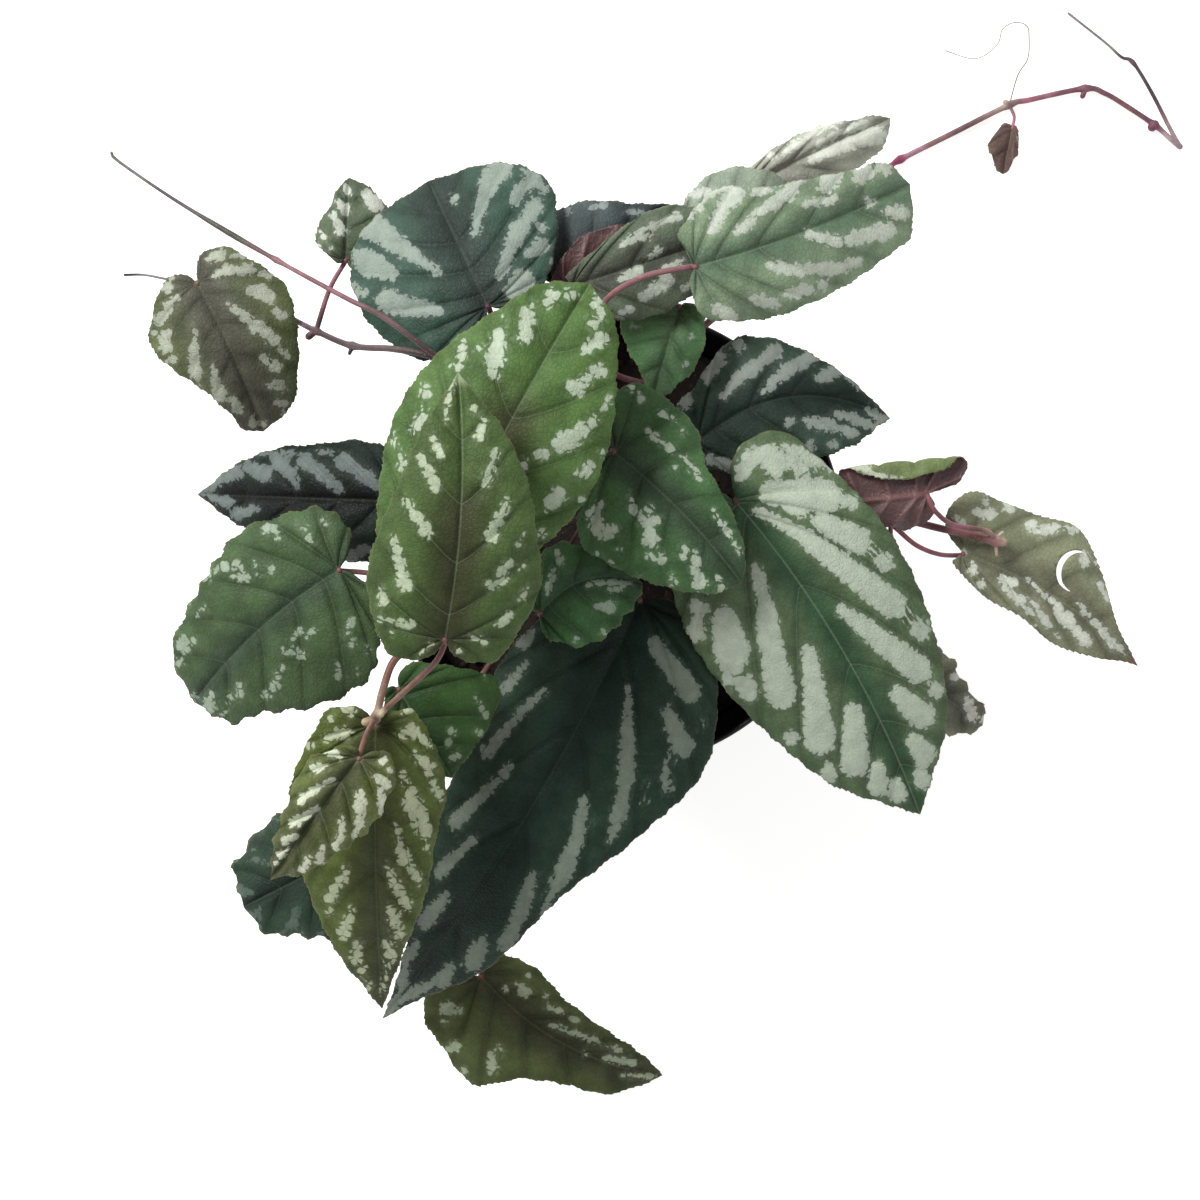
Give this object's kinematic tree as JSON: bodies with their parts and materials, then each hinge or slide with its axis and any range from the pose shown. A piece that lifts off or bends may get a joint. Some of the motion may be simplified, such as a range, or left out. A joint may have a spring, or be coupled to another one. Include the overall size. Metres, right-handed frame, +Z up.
{
  "type": "potted rex begonia vine",
  "caption": "Trailing vine with silver-patched, heart-shaped toothed leaves on stems with swollen nodes and tendrils, growing in a plain black nursery pot.",
  "frame": {"origin": "middle of the pot's underside, on the surface that it stands on", "axes": "+Z up; +X to the right and +Y up the page as the plant is seen from straight above"},
  "size_m": [0.3494, 0.3712, 0.2141],
  "materials": {
    "pot_plastic": "black, slightly glossy",
    "soil": "coarse and matt",
    "stem_brown": "smooth brown bark",
    "stem_pink": "smooth, purple-pink",
    "leaf_dark": "satin, silver patches",
    "leaf_green": "satin, silver patches",
    "leaf_bright": "satin, silver patches",
    "leaf_olive": "satin, silver patches",
    "leaf_pale": "satin, silver patches"
  },
  "bodies": {
    "root": {"pot": "pot_plastic", "soil": "soil", "vine_upper_left": "stem_brown", "vine_upper_right": "stem_pink", "vine_right": "stem_brown", "vine_lower_left": "stem_pink", "vine_front": "stem_brown", "crown": "stem_brown", "leaf_01": "leaf_olive", "leaf_02": "leaf_green", "leaf_03": "leaf_dark", "leaf_04": "leaf_dark", "leaf_05": "leaf_pale", "leaf_06": "leaf_pale", "leaf_07": "leaf_pale", "leaf_08": "leaf_pale", "leaf_09": "leaf_green", "leaf_10": "leaf_dark", "leaf_11": "leaf_green", "leaf_12": "leaf_olive", "leaf_13": "leaf_olive", "leaf_14": "leaf_dark", "leaf_15": "leaf_green", "leaf_16": "leaf_bright", "leaf_17": "leaf_bright", "leaf_18": "leaf_green", "leaf_19": "leaf_dark", "leaf_20": "leaf_dark", "leaf_21": "leaf_green", "leaf_22": "leaf_green", "leaf_23": "leaf_olive", "leaf_24": "leaf_olive", "leaf_25": "leaf_dark", "leaf_26": "leaf_olive", "leaf_27": "leaf_olive"}
  },
  "joints": []
}
